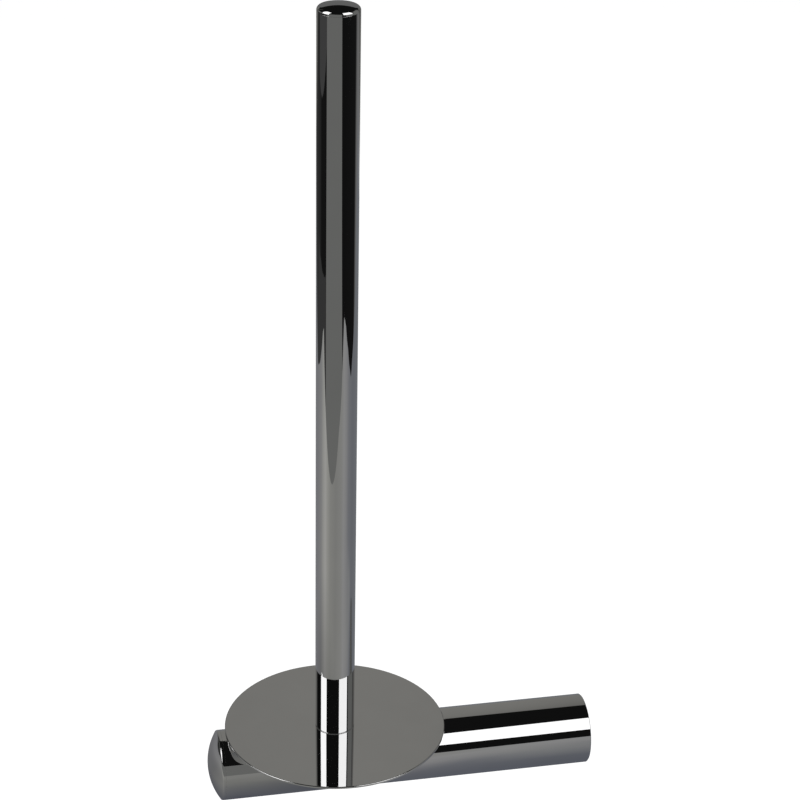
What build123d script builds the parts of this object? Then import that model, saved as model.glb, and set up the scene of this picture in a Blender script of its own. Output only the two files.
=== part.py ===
from build123d import *
import os

# An upright holder for spare toilet rolls. A horizontal tube, the arm, stands out from the wall
# along -Y. A thin round plate is clamped on its crown, and a rod stands on the plate. The rolls
# slide down over the rod and stand on the plate.
# The origin is the centre of the arm where it meets the wall. The wall is the plane Y = 0, and
# +Z is up. Lengths are in millimetres.

# Arm, a straight tube with a domed front cap
arm_diameter = 35.0
arm_wall = 2.0
rod_reach = 129.5
nose_past_plate = 2.25
arm_end_chamfer = 0.3
front_cap_land = 1.5
front_edge_round = 1.2
front_dome_height = 5.5
front_skirt_length = 12.0
front_skirt_wall = 2.5
front_joint_chamfer = 0.15

# Rod, an upright tube with a crowned top cap and a turned plug in its foot
rod_diameter = 19.5
rod_wall = 1.5
rod_height = 371.0
rod_foot_round = 1.0
rod_joint_chamfer = 0.15
rod_cap_land = 2.0
rod_edge_round = 2.0
rod_crown_height = 1.5
rod_plug_length = 10.0
rod_plug_bore = 9.0
foot_length = 24.0
foot_chamfer = 0.5

# Plate, let into the arm's crown in a shallow round seat of its own size
plate_diameter = 110.0
plate_thickness = 1.2
plate_edge_round = 0.3
seat_depth = 0.6

# Stud and saddle nut, which draw the rod down onto the plate and the arm
stud_diameter = 8.0
stud_chamfer = 0.8
stud_in_foot = 14.0
stud_proud = 1.5
stud_hole_depth_left = 3.0
saddle_height = 9.0
saddle_width = 22.0
saddle_length = 26.0
saddle_chamfer = 0.8

# Spigot, screwed to the wall inside the arm's end
spigot_length = 22.0
spigot_flat_depth = 3.0
spigot_chamfer = 1.0
wall_screw_spacing = 16.0
wall_screw_hole = 5.0
screw_head_recess = 9.0
screw_floor = 6.0

# Grub screw, in the arm's underside
grub_diameter = 5.0
grub_inset = 11.0
grub_recess = 0.4
grub_chamfer = 0.5
grub_key = 2.5
grub_key_depth = 2.2

# Fits, each the gap left on a radius or on a face, and the overrun of every cut
seat_fit = 0.02
slide_fit = 0.05
thread_fit = 0.05
plate_gap = 0.2
stud_hole_gap = 0.25
tip_gap = 0.1
overrun = 5.0

arm_radius = arm_diameter / 2
arm_bore_radius = arm_radius - arm_wall
arm_length = rod_reach + plate_diameter / 2 + nose_past_plate
rod_radius = rod_diameter / 2
rod_bore_radius = rod_radius - rod_wall
plate_underside = arm_radius - seat_depth
plate_top = plate_underside + plate_thickness
rod_tube_length = rod_height - rod_crown_height - rod_cap_land
rod_tube_top = plate_top + rod_tube_length
stud_radius = stud_diameter / 2
stud_hole_radius = stud_radius + stud_hole_gap
grub_radius = grub_diameter / 2
spigot_radius = arm_bore_radius - slide_fit
spigot_flat = spigot_radius - spigot_flat_depth


def finish(block, name):
    """Names a finished piece and writes its file."""
    block.part.label = name
    export_step(block.part, f"parts/{name}.step")
    print(name, "volume", round(block.part.volume), "cubic mm")


os.makedirs("parts", exist_ok=True)

# The arm tube starts square at the wall. The seat cut into its crown keeps the plate level.
# The stud drops through the seat, and the grub screw's thread is cut through the underside.
with BuildPart() as arm_tube:
    with BuildSketch(Plane.XZ):
        Circle(arm_radius)
    extrude(amount=arm_length)
    chamfer(arm_tube.faces().sort_by(Axis.Y)[-1].edges(), arm_end_chamfer)
    chamfer(arm_tube.faces().sort_by(Axis.Y)[0].edges(), front_joint_chamfer)
    with BuildSketch(Plane.XZ.offset(-overrun)):
        Circle(arm_bore_radius)
    extrude(amount=arm_length + 2 * overrun, mode=Mode.SUBTRACT)
    with BuildSketch(Plane.XY.offset(plate_underside)):
        with Locations((0, -rod_reach)):
            Circle(plate_diameter / 2 + plate_gap)
    extrude(amount=overrun, mode=Mode.SUBTRACT)
    with BuildSketch(Plane.XY):
        with Locations((0, -rod_reach)):
            Circle(stud_hole_radius)
    extrude(amount=arm_radius + overrun, mode=Mode.SUBTRACT)
    with BuildSketch(Plane.XY):
        with Locations((0, -grub_inset)):
            Circle(grub_radius)
    extrude(amount=-arm_radius - overrun, mode=Mode.SUBTRACT)
finish(arm_tube, "arm_tube")

# The front cap is a shallow dome on a short land, with the edge between them rounded. Its hollow
# skirt is a tight fit in the tube.
with BuildPart() as arm_front_cap:
    skirt_radius = arm_bore_radius - seat_fit
    skirt_end = -arm_length + front_skirt_length
    joint = -arm_length
    rim = joint - front_cap_land
    with BuildSketch(Plane.YZ) as front_profile:
        with BuildLine():
            dome_top = (rim - front_dome_height, 0)
            sphere = (arm_radius**2 + front_dome_height**2) / (2 * front_dome_height)
            RadiusArc(dome_top, (rim, arm_radius), sphere)
            Polyline(
                (rim, arm_radius),
                (joint, arm_radius),
                (joint, skirt_radius),
                (skirt_end, skirt_radius),
                (skirt_end, skirt_radius - front_skirt_wall),
                (joint, skirt_radius - front_skirt_wall),
                (joint, 0),
                dome_top,
            )
        make_face()
        fillet(front_profile.vertices().group_by(Axis.Y)[-1].sort_by(Axis.X)[0], front_edge_round)
    revolve(axis=Axis.Y)
finish(arm_front_cap, "arm_front_cap")

# The rod tube stands on the plate. Its lower edge is rounded, and the cap is pressed in above.
with BuildPart() as rod_tube:
    with BuildSketch(Plane.XY.offset(plate_top)):
        with Locations((0, -rod_reach)):
            Circle(rod_radius)
    extrude(amount=rod_tube_length)
    chamfer(rod_tube.faces().sort_by(Axis.Z)[-1].edges(), rod_joint_chamfer)
    fillet(rod_tube.faces().sort_by(Axis.Z)[0].edges(), rod_foot_round)
    with BuildSketch(Plane.XY.offset(plate_top - overrun)):
        with Locations((0, -rod_reach)):
            Circle(rod_bore_radius)
    extrude(amount=rod_tube_length + 2 * overrun, mode=Mode.SUBTRACT)
finish(rod_tube, "rod_tube")

# The top cap is crowned, with a rounded edge and a bored plug that is pressed into the rod.
rod_plane = Plane(origin=(0, -rod_reach, 0), x_dir=(1, 0, 0), z_dir=(0, -1, 0))
rod_axis = Axis((0, -rod_reach, 0), (0, 0, 1))
with BuildPart() as rod_top_cap:
    plug_radius = rod_bore_radius - seat_fit
    plug_end = rod_tube_top - rod_plug_length
    crown_base = rod_tube_top + rod_cap_land
    with BuildSketch(rod_plane) as rod_profile:
        with BuildLine():
            crown_top = (0, crown_base + rod_crown_height)
            sphere = (rod_radius**2 + rod_crown_height**2) / (2 * rod_crown_height)
            RadiusArc(crown_top, (rod_radius, crown_base), sphere)
            Polyline(
                (rod_radius, crown_base),
                (rod_radius, rod_tube_top),
                (plug_radius, rod_tube_top),
                (plug_radius, plug_end),
                (rod_plug_bore / 2, plug_end),
                (rod_plug_bore / 2, rod_tube_top),
                (0, rod_tube_top),
                crown_top,
            )
        make_face()
        fillet(rod_profile.vertices().group_by(Axis.X)[-1].sort_by(Axis.Y)[-1], rod_edge_round)
    revolve(axis=rod_axis)
finish(rod_top_cap, "rod_top_cap")

# The foot plug sits flush with the rod's end and is tapped for the stud from below.
with BuildPart() as rod_foot:
    with BuildSketch(Plane.XY.offset(plate_top)):
        with Locations((0, -rod_reach)):
            Circle(rod_bore_radius - seat_fit)
    extrude(amount=foot_length)
    chamfer(rod_foot.faces().sort_by(Axis.Z)[-1].edges(), foot_chamfer)
    with BuildSketch(Plane.XY.offset(plate_top)):
        with Locations((0, -rod_reach)):
            Circle(stud_radius)
    extrude(amount=stud_in_foot + stud_hole_depth_left, mode=Mode.SUBTRACT)
finish(rod_foot, "rod_foot")

# The plate lies in the seat of the arm, and the rod stands on it.
with BuildPart() as roll_plate:
    with BuildSketch(Plane.XY.offset(plate_underside)):
        with Locations((0, -rod_reach)):
            Circle(plate_diameter / 2)
    extrude(amount=plate_thickness)
    fillet(roll_plate.edges().filter_by(GeomType.CIRCLE), plate_edge_round)
    with BuildSketch(Plane.XY.offset(plate_underside)):
        with Locations((0, -rod_reach)):
            Circle(stud_hole_radius)
    extrude(amount=plate_thickness, mode=Mode.SUBTRACT)
finish(roll_plate, "roll_plate")

# The saddle nut follows the arm's bore, so that it pulls on a wide band of the tube.
saddle_radius = arm_bore_radius - seat_fit
saddle_floor = saddle_radius - saddle_height
with BuildPart() as saddle_nut:
    with BuildSketch(Plane.XZ.offset(rod_reach)):
        Circle(saddle_radius)
        with Locations((0, saddle_floor)):
            Rectangle(saddle_width, saddle_height, align=(Align.CENTER, Align.MIN), mode=Mode.INTERSECT)
    extrude(amount=saddle_length / 2, both=True)
    chamfer(saddle_nut.faces().sort_by(Axis.Z)[0].edges(), saddle_chamfer)
    with BuildSketch(Plane.XY.offset(saddle_floor - overrun)):
        with Locations((0, -rod_reach)):
            Circle(stud_radius)
    extrude(amount=saddle_height + 2 * overrun, mode=Mode.SUBTRACT)
finish(saddle_nut, "saddle_nut")

# The stud runs from the saddle nut, through the arm and the plate, up into the foot plug.
stud_bottom = saddle_floor - stud_proud
stud_top = plate_top + stud_in_foot
with BuildPart() as rod_stud:
    with BuildSketch(Plane.XY.offset(stud_bottom)):
        with Locations((0, -rod_reach)):
            Circle(stud_radius - thread_fit)
    extrude(amount=stud_top - stud_bottom)
    chamfer(rod_stud.edges().filter_by(GeomType.CIRCLE), stud_chamfer)
finish(rod_stud, "rod_stud")

# The spigot is a short turned boss. The flat along its underside keeps the arm upright and takes
# the grub screw's tip. The screw holes are bored deep, so the heads sit near the wall.
with BuildPart() as wall_spigot:
    with BuildSketch(Plane.XZ):
        Circle(spigot_radius)
    extrude(amount=spigot_length)
    chamfer(wall_spigot.faces().sort_by(Axis.Y)[0].edges(), spigot_chamfer)
    with BuildSketch(Plane.XZ.offset(-overrun)):
        with Locations((0, -spigot_flat)):
            Rectangle(arm_diameter, arm_radius, align=(Align.CENTER, Align.MAX))
    extrude(amount=spigot_length + 2 * overrun, mode=Mode.SUBTRACT)
    recess_depth = spigot_length - screw_floor
    with Locations(Plane.XZ.offset(spigot_length)):
        with GridLocations(wall_screw_spacing, 0, 2, 1):
            CounterBoreHole(wall_screw_hole / 2, screw_head_recess / 2, recess_depth)
finish(wall_spigot, "wall_spigot")

# The grub screw sits just below the arm's surface and bears on the spigot's flat.
grub_outer = -arm_radius + grub_recess
grub_tip = -spigot_flat - tip_gap
with BuildPart() as grub_screw:
    with BuildSketch(Plane.XY.offset(grub_outer)):
        with Locations((0, -grub_inset)):
            Circle(grub_radius - thread_fit)
    extrude(amount=grub_tip - grub_outer)
    chamfer(grub_screw.edges().filter_by(GeomType.CIRCLE), grub_chamfer)
    with BuildSketch(Plane.XY.offset(grub_outer)):
        with Locations((0, -grub_inset)):
            RegularPolygon(grub_key / 2, 6, major_radius=False)
    extrude(amount=grub_key_depth, mode=Mode.SUBTRACT)
finish(grub_screw, "grub_screw")
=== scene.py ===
import math

import bpy
from mathutils import Matrix, Vector


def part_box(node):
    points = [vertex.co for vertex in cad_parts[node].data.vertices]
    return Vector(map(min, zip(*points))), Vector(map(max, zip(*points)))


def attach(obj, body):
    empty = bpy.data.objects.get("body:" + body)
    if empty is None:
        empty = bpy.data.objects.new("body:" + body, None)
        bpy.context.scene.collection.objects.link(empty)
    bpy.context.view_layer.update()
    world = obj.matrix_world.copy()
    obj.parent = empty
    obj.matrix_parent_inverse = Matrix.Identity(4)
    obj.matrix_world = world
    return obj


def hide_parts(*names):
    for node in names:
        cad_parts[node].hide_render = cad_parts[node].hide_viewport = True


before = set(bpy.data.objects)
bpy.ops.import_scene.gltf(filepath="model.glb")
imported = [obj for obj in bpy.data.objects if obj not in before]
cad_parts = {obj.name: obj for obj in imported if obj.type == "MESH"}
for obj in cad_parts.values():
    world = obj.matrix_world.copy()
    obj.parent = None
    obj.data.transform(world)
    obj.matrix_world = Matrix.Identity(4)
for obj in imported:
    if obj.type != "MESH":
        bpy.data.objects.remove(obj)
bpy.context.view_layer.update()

# Arm tube. A drawn brass tube, 35 mm across with a 2 mm wall, cut square at the wall, polished
# and chrome plated. A shallow round seat milled in its crown keeps the plate level, the stud's
# hole is drilled through the seat, and a tapped hole below takes the locking screw.
arm_low, arm_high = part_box("arm_tube")
plate_low, plate_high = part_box("roll_plate")
grub_low, grub_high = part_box("grub_screw")
wall_middle = Vector((0, 0, 0))
to_wall = Vector((0, 1, 0))
upward = Vector((0, 0, 1))
arm_radius = arm_high.x
arm_wall = 0.002
arm_bore = arm_radius - arm_wall
rod_reach = (plate_low.y + plate_high.y) / 2
rod_axis = Vector((0, rod_reach, 0))
plate_radius = plate_high.x
seat_gap = 0.0002
seat_radius = plate_radius + seat_gap
stud_hole = 0.00425
grub_hole = 0.0025
grub_middle = (grub_low.y + grub_high.y) / 2
end_break = 0.0003
joint_break = 0.00008
cut_depth = 0.02
ring_margin = 0.001
tube_sides = 512
plate_sides = 720
hole_sides = 96
start_size = 0.001
weld_reach = 0.000001
crease = math.radians(20)
noise_low = 0.3
noise_high = 0.7
every_way = (1, 1, 1)
along_arm = (1, 0.05, 1)


def turned(name, section, foot, along, sides=tube_sides):
    """Draws a section from point to point, each a height along the axis and a radius, and spins it."""
    across = Vector((1, 0, 0))
    points = [foot + along * height + across * radius for height, radius in section]
    bpy.ops.object.select_all(action="DESELECT")
    bpy.ops.mesh.primitive_plane_add(size=start_size, location=points[0])
    piece = bpy.context.object
    piece.name = name
    bpy.ops.object.transform_apply(location=True)
    bpy.ops.object.mode_set(mode="EDIT")
    bpy.ops.mesh.select_all(action="SELECT")
    bpy.ops.mesh.merge(type="CENTER")
    for here, there in zip(points, points[1:]):
        bpy.ops.mesh.extrude_region_move(TRANSFORM_OT_translate={"value": there - here})
    bpy.ops.mesh.select_all(action="SELECT")
    bpy.ops.mesh.spin(steps=sides, angle=math.tau, center=foot, axis=along)
    bpy.ops.mesh.select_all(action="SELECT")
    bpy.ops.mesh.remove_doubles(threshold=weld_reach)
    bpy.ops.mesh.normals_make_consistent(inside=False)
    bpy.ops.object.mode_set(mode="OBJECT")
    return piece


def drilled(piece, radius, location, sides=hole_sides):
    """Cuts a round, upright hole in a piece, with the middle of the drill's travel at location."""
    bpy.ops.object.select_all(action="DESELECT")
    bpy.ops.mesh.primitive_cylinder_add(vertices=sides, radius=radius, depth=cut_depth, location=location)
    drill = bpy.context.object
    bpy.context.view_layer.objects.active = piece
    bpy.ops.object.modifier_add(type="BOOLEAN")
    cut = piece.modifiers[-1]
    cut.operation = "DIFFERENCE"
    cut.solver = "EXACT"
    cut.object = drill
    bpy.ops.object.modifier_apply(modifier=cut.name)
    bpy.data.objects.remove(drill)


def fitted(piece, finish, body, node):
    """Smooths a finished piece, gives it its material and sets it on its body in place of its solid."""
    bpy.ops.object.select_all(action="DESELECT")
    piece.select_set(True)
    bpy.context.view_layer.objects.active = piece
    bpy.ops.object.shade_smooth_by_angle(angle=crease)
    piece.data.materials.clear()
    piece.data.materials.append(finish)
    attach(piece, body)
    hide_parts(node)


def new_finish(name, metal, roughness):
    """Starts a metal's material and gives back its nodes, its links and its shader."""
    material = bpy.data.materials.new(name)
    material.use_nodes = True
    nodes, links = material.node_tree.nodes, material.node_tree.links
    shader = nodes["Principled BSDF"]
    shader.inputs["Metallic"].default_value = 1
    shader.inputs["Base Color"].default_value = (*metal, 1)
    shader.inputs["Roughness"].default_value = roughness
    return material, nodes, links, shader


def marks(nodes, links, scale, stretch=every_way, detail=3):
    """Noise on the piece's own coordinates, drawn out where stretch is small, as polishing leaves it."""
    place = nodes.new("ShaderNodeTexCoord")
    mapping = nodes.new("ShaderNodeMapping")
    mapping.inputs["Scale"].default_value = stretch
    noise = nodes.new("ShaderNodeTexNoise")
    noise.inputs["Scale"].default_value = scale
    noise.inputs["Detail"].default_value = detail
    links.new(place.outputs["Object"], mapping.inputs["Vector"])
    links.new(mapping.outputs["Vector"], noise.inputs["Vector"])
    return noise.outputs["Fac"]


def spread(nodes, links, factor, low, high):
    """Spreads a noise over a range of values."""
    ramp = nodes.new("ShaderNodeMapRange")
    ramp.inputs["From Min"].default_value = noise_low
    ramp.inputs["From Max"].default_value = noise_high
    ramp.inputs["To Min"].default_value = low
    ramp.inputs["To Max"].default_value = high
    links.new(factor, ramp.inputs["Value"])
    return ramp.outputs["Result"]


def tinted(nodes, links, factor, dark, light):
    """Mixes two colours by a noise."""
    mix = nodes.new("ShaderNodeMix")
    mix.data_type = "RGBA"
    mix.inputs["A"].default_value = (*dark, 1)
    mix.inputs["B"].default_value = (*light, 1)
    links.new(factor, mix.inputs["Factor"])
    return mix.outputs["Result"]


def grained(nodes, links, shader, factor, depth):
    """Lifts the surface by a noise."""
    bump = nodes.new("ShaderNodeBump")
    bump.inputs["Strength"].default_value = 1
    bump.inputs["Distance"].default_value = depth
    links.new(factor, bump.inputs["Height"])
    links.new(bump.outputs["Normal"], shader.inputs["Normal"])


def polished_chrome(name, lay):
    """Bright chrome plate. The buffing wheel leaves faint marks along lay and a trace of cloud."""
    material, nodes, links, shader = new_finish(name, metal=(0.77, 0.77, 0.77), roughness=0.02)
    cloud = marks(nodes, links, scale=60, detail=2)
    hairs = marks(nodes, links, scale=2500, stretch=lay, detail=4)
    tint = tinted(nodes, links, cloud, dark=(0.745, 0.745, 0.745), light=(0.79, 0.79, 0.79))
    links.new(tint, shader.inputs["Base Color"])
    links.new(spread(nodes, links, hairs, low=0.01, high=0.03), shader.inputs["Roughness"])
    grained(nodes, links, shader, hairs, depth=0.00000002)
    return material


# Rings of points just beside each cut keep the tube's long facets whole beyond them.
seat_rings = [rod_axis.y + seat_radius + ring_margin, rod_axis.y - seat_radius - ring_margin]
grub_rings = [grub_middle + grub_hole + ring_margin, grub_middle - grub_hole - ring_margin]
arm_tube = turned(
    "arm_tube_polished",
    [
        (0, arm_bore),
        (0, arm_radius - end_break),
        (-end_break, arm_radius),
        *[(y, arm_radius) for y in grub_rings + seat_rings],
        (arm_low.y + joint_break, arm_radius),
        (arm_low.y, arm_radius - joint_break),
        (arm_low.y, arm_bore),
        (0, arm_bore),
    ],
    wall_middle, to_wall,
)
drilled(arm_tube, seat_radius, rod_axis + upward * (plate_low.z + cut_depth / 2), plate_sides)
drilled(arm_tube, stud_hole, rod_axis + upward * arm_radius)
drilled(arm_tube, grub_hole, Vector((0, grub_middle, -arm_radius)))
fitted(arm_tube, polished_chrome("chrome_arm", along_arm), "holder", "arm_tube")

# Front cap. A turned brass plug with a shallow dome, pressed into the tube's open end by its skirt
# and polished and plated with it, so that the joint is only a hairline.
cap_low, cap_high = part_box("arm_front_cap")
front_land = 0.0015
front_round = 0.0012
press_gap = 0.00002
skirt_wall = 0.0025
skirt_radius = arm_bore - press_gap
skirt_bore = skirt_radius - skirt_wall
round_steps = 16
dome_steps = 40


def crowned(land, radius, crown, rounding):
    """The half section of a domed end: land, rounded edge and dome, as heights and radii from the joint."""
    ball = (radius**2 + crown**2) / (2 * crown)
    ball_middle = land + crown - ball
    reach = radius - rounding
    round_middle = ball_middle + math.sqrt((ball - rounding) ** 2 - reach**2)
    slope = math.asin(reach / (ball - rounding))
    edge = []
    for step in range(round_steps + 1):
        angle = math.pi / 2 + (slope - math.pi / 2) * step / round_steps
        edge.append((round_middle + rounding * math.cos(angle), reach + rounding * math.sin(angle)))
    dome = []
    for step in range(1, dome_steps + 1):
        angle = slope * (1 - step / dome_steps)
        dome.append((ball_middle + ball * math.cos(angle), ball * math.sin(angle)))
    return edge + dome


front_dome = arm_low.y - cap_low.y - front_land
dome = [(arm_low.y - height, radius) for height, radius in
        crowned(front_land, arm_radius, front_dome, front_round)]
front_cap = turned(
    "front_cap_polished",
    [
        (arm_low.y, 0),
        (arm_low.y, skirt_bore),
        (cap_high.y, skirt_bore),
        (cap_high.y, skirt_radius),
        (arm_low.y, skirt_radius),
        (arm_low.y, arm_radius - joint_break),
        (arm_low.y - joint_break, arm_radius),
        *dome,
    ],
    wall_middle, to_wall,
)
fitted(front_cap, polished_chrome("chrome_front", every_way), "holder", "arm_front_cap")

# Rod tube. A drawn brass tube, 19.5 mm across, that stands square on the plate with its lower edge
# rounded. It is polished along its length and chrome plated.
rod_low, rod_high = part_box("rod_tube")
rod_radius = rod_high.x
rod_wall = 0.0015
rod_bore = rod_radius - rod_wall
rod_foot_round = 0.0005
hairline = 0.00003
along_rod = (1, 1, 0.05)


def quarter(height, radius, rounding, first):
    """A quarter round of an edge, as heights and radii about its middle, from the angle first."""
    angles = [first + math.pi / 2 * step / round_steps for step in range(round_steps + 1)]
    return [(height + rounding * math.sin(a), radius + rounding * math.cos(a)) for a in angles]


rod_tube = turned(
    "rod_tube_polished",
    [
        (rod_low.z, rod_bore),
        *quarter(rod_low.z + rod_foot_round, rod_radius - rod_foot_round, rod_foot_round, -math.pi / 2),
        (rod_high.z - hairline, rod_radius),
        (rod_high.z, rod_radius - hairline),
        (rod_high.z, rod_bore),
        (rod_low.z, rod_bore),
    ],
    rod_axis, upward,
)
fitted(rod_tube, polished_chrome("chrome_rod", along_rod), "holder", "rod_tube")

# Top cap. A turned brass plug with a slight crown and a rounded edge, pressed into the rod's top
# end and polished and plated with it.
top_low, top_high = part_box("rod_top_cap")
top_land = 0.002
top_round = 0.002
plug_radius = rod_bore - press_gap
plug_bore = 0.0045
crown = [(rod_high.z + height, radius) for height, radius in
         crowned(top_land, rod_radius, top_high.z - rod_high.z - top_land, top_round)]
top_cap = turned(
    "top_cap_polished",
    [
        (rod_high.z, 0),
        (rod_high.z, plug_bore),
        (top_low.z, plug_bore),
        (top_low.z, plug_radius),
        (rod_high.z, plug_radius),
        (rod_high.z, rod_radius - hairline),
        (rod_high.z + hairline, rod_radius),
        *crown,
    ],
    rod_axis, upward,
)
fitted(top_cap, polished_chrome("chrome_top", every_way), "holder", "rod_top_cap")

# Plate. A disc cut from 1.2 mm brass sheet with a rounded edge, polished on both faces and chrome
# plated. The rolls stand on it, and the stud passes through its middle.
plate_round = 0.0005
roll_plate = turned(
    "roll_plate_polished",
    [
        (plate_low.z, stud_hole),
        *quarter(plate_low.z + plate_round, plate_radius - plate_round, plate_round, -math.pi / 2),
        *quarter(plate_high.z - plate_round, plate_radius - plate_round, plate_round, 0),
        (plate_high.z, stud_hole),
        (plate_low.z, stud_hole),
    ],
    rod_axis, upward, plate_sides,
)
fitted(roll_plate, polished_chrome("chrome_plate", every_way), "holder", "roll_plate")

# Foot plug and saddle nut. Both are turned or milled from plain brass bar and stay unplated,
# because the tubes hide them. They keep the tool's fine rings.
def turned_brass(name):
    """Plain brass with the rings of the turning tool and a slightly dulled skin."""
    material, nodes, links, shader = new_finish(name, metal=(0.78, 0.60, 0.32), roughness=0.3)
    skin = marks(nodes, links, scale=180)
    rings = marks(nodes, links, scale=900, stretch=(0.1, 0.1, 1), detail=2)
    tint = tinted(nodes, links, skin, dark=(0.66, 0.48, 0.23), light=(0.80, 0.62, 0.34))
    links.new(tint, shader.inputs["Base Color"])
    links.new(spread(nodes, links, skin, low=0.22, high=0.4), shader.inputs["Roughness"])
    grained(nodes, links, shader, rings, depth=0.00002)
    return material


def dressed(finish, *kept):
    """Gives a material to pieces that keep the form of their solids."""
    for node in kept:
        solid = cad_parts[node]
        solid.data.materials.clear()
        solid.data.materials.append(finish)


dressed(turned_brass("turned_brass"), "rod_foot", "saddle_nut")

# Stud and wall spigot. Plain steel under a thin zinc plating. The stud is cut from threaded rod,
# and the spigot is turned, flattened below and bored for the two wall screws.
def zinc_plated(name):
    """Zinc plating, a cool grey with a faint cloud and soft reflections."""
    material, nodes, links, shader = new_finish(name, metal=(0.62, 0.63, 0.64), roughness=0.3)
    cloud = marks(nodes, links, scale=220, detail=4)
    rings = marks(nodes, links, scale=1100, stretch=(0.1, 1, 0.1), detail=2)
    tint = tinted(nodes, links, cloud, dark=(0.53, 0.545, 0.57), light=(0.67, 0.675, 0.67))
    links.new(tint, shader.inputs["Base Color"])
    links.new(spread(nodes, links, cloud, low=0.24, high=0.42), shader.inputs["Roughness"])
    grained(nodes, links, shader, rings, depth=0.00001)
    return material


dressed(zinc_plated("zinc_plated_steel"), "rod_stud", "wall_spigot")

# Locking screw. A stainless M5 grub screw with a hexagon socket, driven in from below until its
# tip bears on the spigot's flat.
def plain_stainless(name):
    """Stainless steel as it comes from the screw machine, with fine turning marks."""
    material, nodes, links, shader = new_finish(name, metal=(0.5, 0.5, 0.51), roughness=0.28)
    grain = marks(nodes, links, scale=1400, stretch=(0.2, 0.2, 1))
    tint = tinted(nodes, links, grain, dark=(0.43, 0.43, 0.44), light=(0.56, 0.56, 0.565))
    links.new(tint, shader.inputs["Base Color"])
    links.new(spread(nodes, links, grain, low=0.2, high=0.36), shader.inputs["Roughness"])
    grained(nodes, links, shader, grain, depth=0.000008)
    return material


dressed(plain_stainless("stainless_screw"), "grub_screw")

# Camera. It stands in front and to the right of the arm's free end, looks down on the plate and
# leans over by about one degree, as in the photo.
view_heading = math.radians(77.882)
view_pitch = math.radians(25.9476)
view_roll = math.radians(1.0782)
camera_place = Vector((0.964936, -0.306331, 0.676077))
aim = (Matrix.Rotation(view_heading, 4, "Z") @ Matrix.Rotation(math.pi / 2 - view_pitch, 4, "X")
       @ Matrix.Rotation(view_roll, 4, "Z"))
bpy.ops.object.camera_add(location=camera_place, rotation=aim.to_euler())
camera = bpy.context.object
camera.data.sensor_fit = "HORIZONTAL"
camera.data.sensor_width = 36
camera.data.lens = 104.931
camera.data.clip_start = 0.01
camera.data.clip_end = 50
bpy.context.scene.camera = camera

# Studio. A pale floor well below the arm, white air, two soft lamps in front, and cards that only
# the polished metal sees: a grey table close under the arm, grey sheets round it, and dark cloth
# round everything. Its places count from the rod's axis, to the camera's right and away from it.
floor_level = -0.25
floor_shine = 0.3
air_strength = 0.85
table_level = -0.0205
ground_level = -0.0225
studio = Matrix.Translation(rod_axis) @ Matrix.Rotation(view_heading, 4, "Z")


def white_to_camera(nodes, links):
    """Tells the rays that see the white background: from the camera, off gloss and through glass."""
    path = nodes.new("ShaderNodeLightPath")
    total = path.outputs["Is Camera Ray"]
    for ray in ("Is Glossy Ray", "Is Transmission Ray"):
        add = nodes.new("ShaderNodeMath")
        add.operation = "ADD"
        add.use_clamp = True
        links.new(total, add.inputs[0])
        links.new(path.outputs[ray], add.inputs[1])
        total = add.outputs["Value"]
    return total


def card_paper(name, tone):
    """The paper of a card, which shows its plain tone, as it is written, to reflections."""
    paper = bpy.data.materials.new(name)
    paper.use_nodes = True
    paper.cycles.emission_sampling = "NONE"
    nodes, links = paper.node_tree.nodes, paper.node_tree.links
    nodes.clear()
    light = nodes.new("ShaderNodeEmission")
    light.inputs["Color"].default_value = (*tone, 1)
    out = nodes.new("ShaderNodeOutputMaterial")
    links.new(light.outputs["Emission"], out.inputs["Surface"])
    return paper, nodes, links, light


def toned(nodes, links, value, stops, passage="EASE"):
    """Shades a card by tones along a value from 0 to 1."""
    ramp = nodes.new("ShaderNodeValToRGB")
    ramp.color_ramp.interpolation = passage
    elements = ramp.color_ramp.elements
    while len(elements) < len(stops):
        elements.new(1)
    for element, (position, tone) in zip(elements, stops):
        element.position = position
        element.color = (*tone, 1)
    links.new(value, ramp.inputs["Fac"])
    return ramp.outputs["Color"]


def around(nodes, links):
    """The direction from the rod: 0 and 1 to the left, 0.25 to the camera, 0.5 to the right."""
    place = nodes.new("ShaderNodeTexCoord")
    radial = nodes.new("ShaderNodeTexGradient")
    radial.gradient_type = "RADIAL"
    links.new(place.outputs["Object"], radial.inputs["Vector"])
    return radial.outputs["Fac"]


def along_card(nodes, links, axis, low, high, turn=0):
    """The place along an axis of the studio, or of a turned one, as 0 at low and 1 at high."""
    place = nodes.new("ShaderNodeTexCoord")
    turned_place = nodes.new("ShaderNodeMapping")
    turned_place.inputs["Rotation"].default_value = (0, 0, -turn)
    parts = nodes.new("ShaderNodeSeparateXYZ")
    share = nodes.new("ShaderNodeMapRange")
    share.inputs["From Min"].default_value = low
    share.inputs["From Max"].default_value = high
    links.new(place.outputs["Object"], turned_place.inputs["Vector"])
    links.new(turned_place.outputs["Vector"], parts.inputs["Vector"])
    links.new(parts.outputs[axis], share.inputs["Value"])
    return share.outputs["Result"]


def for_metal_only(item):
    """Leaves a card to reflections alone."""
    item.visible_camera = False
    item.visible_diffuse = False
    item.visible_transmission = False
    item.visible_volume_scatter = False
    item.visible_shadow = False


def card(name, paper, *corners):
    """A card by its corners, each so far right of the rod's axis, behind it and above the arm's."""
    bpy.ops.object.select_all(action="DESELECT")
    bpy.ops.mesh.primitive_circle_add(vertices=len(corners), fill_type="NGON")
    item = bpy.context.object
    item.name = name
    for vertex, corner in zip(item.data.vertices, corners):
        vertex.co = corner
    item.matrix_world = studio
    item.data.materials.append(paper)
    for_metal_only(item)


def level_card(name, paper, outline, level):
    """A card that lies level, by the corners of its outline."""
    card(name, paper, *[(x, y, level) for x, y in outline])


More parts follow.
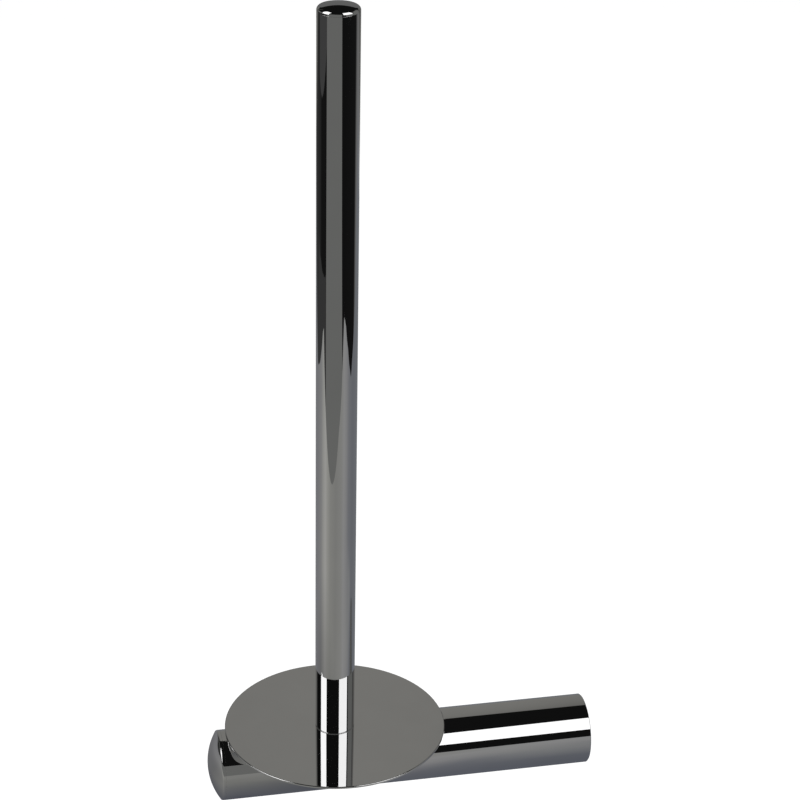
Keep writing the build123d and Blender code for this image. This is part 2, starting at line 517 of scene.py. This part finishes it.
def upright(name, paper, left, right, low, high):
    """A standing card between two places, from one height to another."""
    card(name, paper, (*left, low), (*right, low), (*right, high), (*left, high))


def grey(tone):
    """A neutral tone."""
    return (tone, tone, tone)


floor_finish = bpy.data.materials.new("pale_floor")
floor_finish.use_nodes = True
nodes, links = floor_finish.node_tree.nodes, floor_finish.node_tree.links
nodes.clear()
matt = nodes.new("ShaderNodeBsdfDiffuse")
matt.inputs["Color"].default_value = (*grey(0.8), 1)
lift = nodes.new("ShaderNodeMath")
lift.operation = "MULTIPLY"
lift.inputs[1].default_value = floor_shine
shine = nodes.new("ShaderNodeEmission")
both = nodes.new("ShaderNodeAddShader")
out = nodes.new("ShaderNodeOutputMaterial")
links.new(white_to_camera(nodes, links), lift.inputs[0])
links.new(lift.outputs["Value"], shine.inputs["Strength"])
links.new(matt.outputs["BSDF"], both.inputs[0])
links.new(shine.outputs["Emission"], both.inputs[1])
links.new(both.outputs["Shader"], out.inputs["Surface"])
bpy.ops.object.select_all(action="DESELECT")
bpy.ops.mesh.primitive_plane_add(size=16, location=(0, 0, floor_level))
floor = bpy.context.object
floor.name = "floor"
floor.data.materials.append(floor_finish)

world = bpy.data.worlds.new("white_air")
bpy.context.scene.world = world
world.use_nodes = True
nodes, links = world.node_tree.nodes, world.node_tree.links
nodes.clear()
plain = nodes.new("ShaderNodeBackground")
plain.inputs["Strength"].default_value = air_strength
white = nodes.new("ShaderNodeBackground")
white.inputs["Strength"].default_value = 1
for air in (plain, white):
    air.inputs["Color"].default_value = (*grey(1), 1)
choose = nodes.new("ShaderNodeMixShader")
out = nodes.new("ShaderNodeOutputWorld")
links.new(white_to_camera(nodes, links), choose.inputs["Fac"])
links.new(plain.outputs["Background"], choose.inputs[1])
links.new(white.outputs["Background"], choose.inputs[2])
links.new(choose.outputs["Shader"], out.inputs["Surface"])

cloth_tone = grey(0.006)
bpy.ops.object.select_all(action="DESELECT")
bpy.ops.mesh.primitive_uv_sphere_add(segments=64, ring_count=32, radius=5, location=rod_axis)
tent = bpy.context.object
tent.name = "dark_tent"
tent.data.materials.append(card_paper("dark_cloth", cloth_tone)[0])
for_metal_only(tent)

ground_reach = 4
# Round the rod the ground card is dark cloth, with grey paper behind it to the right and a painted highlight
# on that paper further behind.
ground_tones = [(0.0, grey(0.008)), (0.3, cloth_tone), (0.53, grey(0.008)), (0.58, grey(0.16)),
                (0.64, grey(0.18)), (0.7, grey(0.6)), (0.73, grey(0.5)), (0.77, grey(0.13)),
                (0.83, grey(0.04)), (0.95, grey(0.022)), (1.0, grey(0.008))]
square = ((-1, -1), (1, -1), (1, 1), (-1, 1))
ground_paper, nodes, links, light = card_paper("dark_ground", cloth_tone)
links.new(toned(nodes, links, around(nodes, links), ground_tones), light.inputs["Color"])
level_card("dark_ground", ground_paper, [(x * ground_reach, y * ground_reach) for x, y in square],
           ground_level)

# The table card's grey carries painted sheen: lighter towards each lamp, darker and bluish to the right.
table_tones_and_sheen = [(0.0, grey(0.25)), (0.042, (0.335, 0.335, 0.32)), (0.083, (0.395, 0.39, 0.375)),
               (0.125, (0.32, 0.32, 0.3)), (0.167, (0.265, 0.265, 0.25)), (0.25, (0.235, 0.235, 0.225)),
               (0.333, (0.26, 0.26, 0.25)), (0.375, grey(0.29)), (0.417, (0.255, 0.255, 0.26)),
               (0.458, (0.185, 0.19, 0.205)), (0.53, (0.155, 0.163, 0.18)), (0.62, (0.165, 0.173, 0.19)),
               (0.78, (0.195, 0.2, 0.21)), (0.917, (0.21, 0.21, 0.22)), (1.0, grey(0.25))]
table_outline = [(-0.541, -0.15), (0.1, -0.379), (0.218, -0.393), (0.302, -0.42), (0.377, -0.438),
                 (0.41, -0.401), (0.443, -0.348), (0.459, -0.281), (0.477, -0.22), (0.481, -0.091),
                 (0.478, -0.019), (0.506, 0.048), (0.527, 0.131), (0.572, 0.266), (0.92, 0.72), (-0.42, 0.9),
                 (-0.42, 0.283), (-0.47, 0.18), (-0.513, 0.044), (-0.548, -0.096)]
table_paper, nodes, links, light = card_paper("grey_table", grey(0.2))
links.new(toned(nodes, links, around(nodes, links), table_tones_and_sheen, "LINEAR"), light.inputs["Color"])
level_card("grey_table", table_paper, table_outline, table_level)

# A strip of the table's paper stands on it before the arm's wall end, a little higher at its right.
strip_left = (0.08, -0.2)
strip_right = (0.26, -0.2)
strip_left_top = table_level + 0.02
strip_right_top = table_level + 0.043
card("table_strip", table_paper, (*strip_left, table_level), (*strip_right, table_level),
     (*strip_right, strip_right_top), (*strip_left, strip_left_top))

# Grey sheets lie and stand before the table and to its left, and a backdrop stands behind it.
front_left = (-2.6, -1.5)
front_right = (0.52, -1.5)
front_level = (table_level + ground_level) / 2
front_paper = card_paper("grey_front", (0.153, 0.155, 0.15))[0]
level_card("front_ground", front_paper, [(-0.33, -0.19), front_left, front_right, (0.246, -0.34)],
           front_level)
apron_outline = [(-0.3, -0.165), (-0.58, -0.319), (-0.605, -0.262), (-0.652, -0.13), (-0.69, 0.06),
                 (-0.68, 0.35), (-0.3, 0.35)]
level_card("left_ground", card_paper("dark_apron", grey(0.04))[0], apron_outline, front_level)
upright("front_sheet", front_paper, front_left, front_right, low=ground_level, high=0.83)
upright("left_sheet", card_paper("grey_left", grey(0.055))[0], (-1.1, 0.4), (-1.1, -0.63),
        low=ground_level, high=0.08)
back_reach = 1.3
back_left = (-back_reach, 0.9)
back_right = (back_reach, 0.9)
back_tones = [(0.0, grey(0.03)), (0.3, (0.193, 0.19, 0.181)), (0.5, (0.219, 0.216, 0.204)),
              (0.75, (0.122, 0.12, 0.115)), (1.0, grey(0.05))]
back_paper, nodes, links, light = card_paper("grey_backdrop", grey(0.2))
links.new(toned(nodes, links, along_card(nodes, links, "X", -back_reach, back_reach), back_tones),
          light.inputs["Color"])
upright("grey_backdrop", back_paper, back_left, back_right, low=ground_level, high=1.72)

# Grey sheets close the studio at its sides, so that the plate has something to show to other sides.
side_corner = (1.5, -0.13)
upright("right_sheet", front_paper, (0.92, -1.18), side_corner, low=ground_level, high=0.6)
upright("right_wall", front_paper, side_corner, back_right, low=ground_level, high=1.5)
upright("left_wall", front_paper, back_left, front_left, low=0.2, high=0.65)

# A flag stands close behind the rod's top, grey below and dark above, which the crown shows. A shelf
# that is dark from below only hides it from the arm.
def veil(name, tone):
    """A paper that covers what lies behind it by a share between 0 and 1."""
    paper, nodes, links, light = card_paper(name, tone)
    clear = nodes.new("ShaderNodeBsdfTransparent")
    cover = nodes.new("ShaderNodeMixShader")
    links.new(clear.outputs["BSDF"], cover.inputs[1])
    links.new(light.outputs["Emission"], cover.inputs[2])
    links.new(cover.outputs["Shader"], nodes["Material Output"].inputs["Surface"])
    return paper, nodes, links, cover


flag_reach = 0.06
flag_place = 0.1
flag_foot = 0.35
flag_middle = 0.44
flag_top = 0.75
shelf_front = 0.06
upright("grey_flag", card_paper("grey_flag", grey(0.139))[0],
        (-flag_reach, flag_place), (flag_reach, flag_place), flag_foot, flag_middle)
upright("dark_flag", card_paper("dark_flag", cloth_tone)[0],
        (-2 * flag_reach, flag_place), (2 * flag_reach, flag_place), flag_middle, flag_top)
shelf_cloth, nodes, links, cover = veil("flag_shelf", cloth_tone)
side = nodes.new("ShaderNodeNewGeometry")
links.new(side.outputs["Backfacing"], cover.inputs["Fac"])
level_card("flag_shelf", shelf_cloth, [(-flag_reach, shelf_front), (flag_reach, shelf_front),
                                       (flag_reach, flag_place), (-flag_reach, flag_place)], flag_foot)

# Painted shade: veils darken the table card under the arm and round its nose, which its underside
# and its dome show as a darker belly. Beside the shade, towards the camera, a painted pool of
# light brightens the table.
arm_turn = math.radians(90) - view_heading
arm_spin = Matrix.Rotation(arm_turn, 3, "Z")
veil_gap = 0.0001


def arm_veil(name, tone, level, ends, edges, end_tones, edge_tones, passage):
    """A veil that lies along the arm, between two ends and two edges, and thins out towards them."""
    (front, back), (low, high) = ends, edges
    paper, nodes, links, cover = veil(name, tone)
    across = along_card(nodes, links, "Y", low, high, arm_turn)
    lengthways = along_card(nodes, links, "X", front, back, arm_turn)
    share = nodes.new("ShaderNodeMath")
    share.operation = "MULTIPLY"
    links.new(toned(nodes, links, across, edge_tones, passage), share.inputs[0])
    links.new(toned(nodes, links, lengthways, end_tones, passage), share.inputs[1])
    links.new(share.outputs["Value"], cover.inputs["Fac"])
    outline = [(front, low), (back, low), (back, high), (front, high)]
    level_card(name, paper, [(arm_spin @ Vector((*corner, 0))).xy for corner in outline], level)


shade_front = -0.09
shade_reach = 0.06
# Painted shadow of the arm on the table card, bluish and darkest under the arm.
arm_veil(
    "painted_arm_shade", (0.02, 0.028, 0.06), table_level + 3 * veil_gap,
    ends=(shade_front, 0.2), edges=(-shade_reach, shade_reach),
    end_tones=[(0, grey(0)), (0.14, grey(1)), (0.24, grey(1)), (0.41, grey(0.51)), (0.79, grey(0.51)),
               (1, grey(0))],
    edge_tones=[(0, grey(0)), (0.5, grey(0.75)), (1, grey(0))],
    passage="EASE",
)
# Painted pool of light on the table card beside the arm, towards the camera.
arm_veil(
    "painted_table_light", (0.32, 0.32, 0.305), table_level + 4 * veil_gap,
    ends=(0.068, 0.228), edges=(-0.155, -0.025),
    end_tones=[(0, grey(0)), (0.17, grey(0.7)), (0.28, grey(1)), (0.42, grey(0.92)), (0.8, grey(0.9)),
               (1, grey(0))],
    edge_tones=[(0, grey(0)), (0.38, grey(0.27)), (0.64, grey(0.39)), (0.78, grey(0.33)), (0.86, grey(0.26)),
                (0.92, grey(0.19)), (0.97, grey(0.09)), (1, grey(0))],
    passage="LINEAR",
)

# Painted shade on the table card round the arm's nose, darkest at its middle.
nose_reach = 0.15
nose_place = arm_spin @ Vector((shade_front, 0, table_level + 2 * veil_gap))
nose_tones = [(0, grey(0)), (1, grey(0.42))]
nose_paper, nodes, links, cover = veil("painted_nose_shade", (0.02, 0.022, 0.03))
place = nodes.new("ShaderNodeTexCoord")
ball = nodes.new("ShaderNodeMapping")
ball.vector_type = "TEXTURE"
ball.inputs["Location"].default_value = nose_place
ball.inputs["Scale"].default_value = (nose_reach, nose_reach, nose_reach)
spot = nodes.new("ShaderNodeTexGradient")
spot.gradient_type = "SPHERICAL"
links.new(place.outputs["Object"], ball.inputs["Vector"])
links.new(ball.outputs["Vector"], spot.inputs["Vector"])
links.new(toned(nodes, links, spot.outputs["Fac"], nose_tones), cover.inputs["Fac"])
level_card("painted_nose_shade", nose_paper, [nose_place.xy + nose_reach * Vector(corner) for corner in square],
           nose_place.z)

# Two soft lamps stand upright in front, one at each side of the camera, and face the rod.
lamp_distance = 1.04


def soft_lamp(name, azimuth, width, foot, head, brightness):
    """An upright soft lamp that faces the rod from an azimuth, 0 at the camera and + to its right."""
    place = studio @ Vector((lamp_distance * math.sin(azimuth), -lamp_distance * math.cos(azimuth),
                             (foot + head) / 2))
    turn = (Vector((rod_axis.x, rod_axis.y, place.z)) - place).to_track_quat("-Z", "Y").to_euler()
    bpy.ops.object.light_add(type="AREA", location=place, rotation=turn)
    lamp = bpy.context.object
    lamp.name = name
    lamp.data.shape = "RECTANGLE"
    lamp.data.size = width
    lamp.data.size_y = head - foot
    lamp.data.energy = brightness * math.pi * width * (head - foot)


soft_lamp("left_lamp", math.radians(-68.5), width=0.737, foot=0.43, head=1.85, brightness=1.6)
soft_lamp("right_lamp", math.radians(51.75), width=0.981, foot=0.51, head=1.76, brightness=1.45)

bpy.context.scene.view_settings.view_transform = "Standard"
